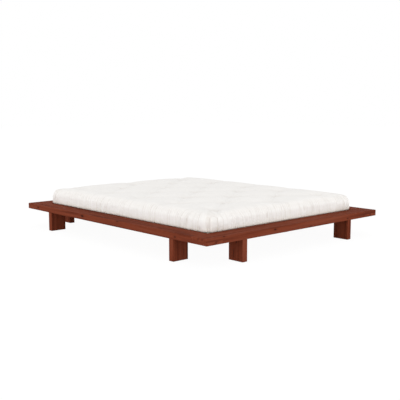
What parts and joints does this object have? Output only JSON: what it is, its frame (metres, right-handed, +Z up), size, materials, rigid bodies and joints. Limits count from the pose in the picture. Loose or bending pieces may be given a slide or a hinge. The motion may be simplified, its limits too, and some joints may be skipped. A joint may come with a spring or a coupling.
{
  "type": "futon bed",
  "caption": "Low platform bed: a wide flat-board rim on board legs, with a slatted base and a loose tufted cotton futon set into the rim",
  "frame": {"origin": "On the floor, under the middle of the bed", "axes": "+Z up, +Y along the bed from the foot end to the head end, +X across it to the right of someone lying on their back with the head at the head end"},
  "size_m": [1.9, 2.3, 0.3303],
  "materials": {
    "rim_wood": "solid pine, stained red-brown and satin lacquered",
    "leg_wood": "solid pine, stained red-brown and satin lacquered",
    "bare_pine": "planed, untreated pine",
    "zinc_steel": "zinc-plated steel",
    "brass": "turned brass",
    "tape": "woven cotton webbing",
    "futon_cotton": "unbleached cotton twill, matt",
    "tuft_thread": "waxed cotton thread"
  },
  "bodies": {
    "frame": {"long_rail_left": "rim_wood", "long_rail_right": "rim_wood", "foot_rail": "rim_wood", "head_rail": "rim_wood", "leg_left_foot": "leg_wood", "leg_left_head": "leg_wood", "leg_right_foot": "leg_wood", "leg_right_head": "leg_wood", "leg_foot_left": "leg_wood", "leg_foot_right": "leg_wood", "leg_head_left": "leg_wood", "leg_head_right": "leg_wood", "centre_beam": "bare_pine", "centre_leg_head": "bare_pine", "centre_leg_foot": "bare_pine", "ledger_left": "bare_pine", "ledger_right": "bare_pine", "slat_01": "bare_pine", "slat_02": "bare_pine", "slat_03": "bare_pine", "slat_04": "bare_pine", "slat_05": "bare_pine", "slat_06": "bare_pine", "slat_07": "bare_pine", "slat_08": "bare_pine", "slat_09": "bare_pine", "slat_10": "bare_pine", "slat_11": "bare_pine", "slat_12": "bare_pine", "slat_13": "bare_pine", "slat_14": "bare_pine", "slat_15": "bare_pine", "slat_16": "bare_pine", "beam_shoe_foot": "zinc_steel", "beam_shoe_head": "zinc_steel", "leg_bolts": "zinc_steel", "corner_bolts": "zinc_steel", "ledger_screws": "zinc_steel", "slat_screws": "zinc_steel", "shoe_screws": "zinc_steel", "tape_staples": "zinc_steel", "leg_inserts": "brass", "corner_inserts": "brass", "slat_tape_left": "tape", "slat_tape_right": "tape"},
    "futon": {"futon": "futon_cotton", "futon_tufts": "tuft_thread"}
  },
  "joints": [
    {"name": "futon_lift", "type": "slide", "parent": "frame", "child": "futon", "axis": [0, 0, 1], "range_m": [0, 0.35]}
  ]
}
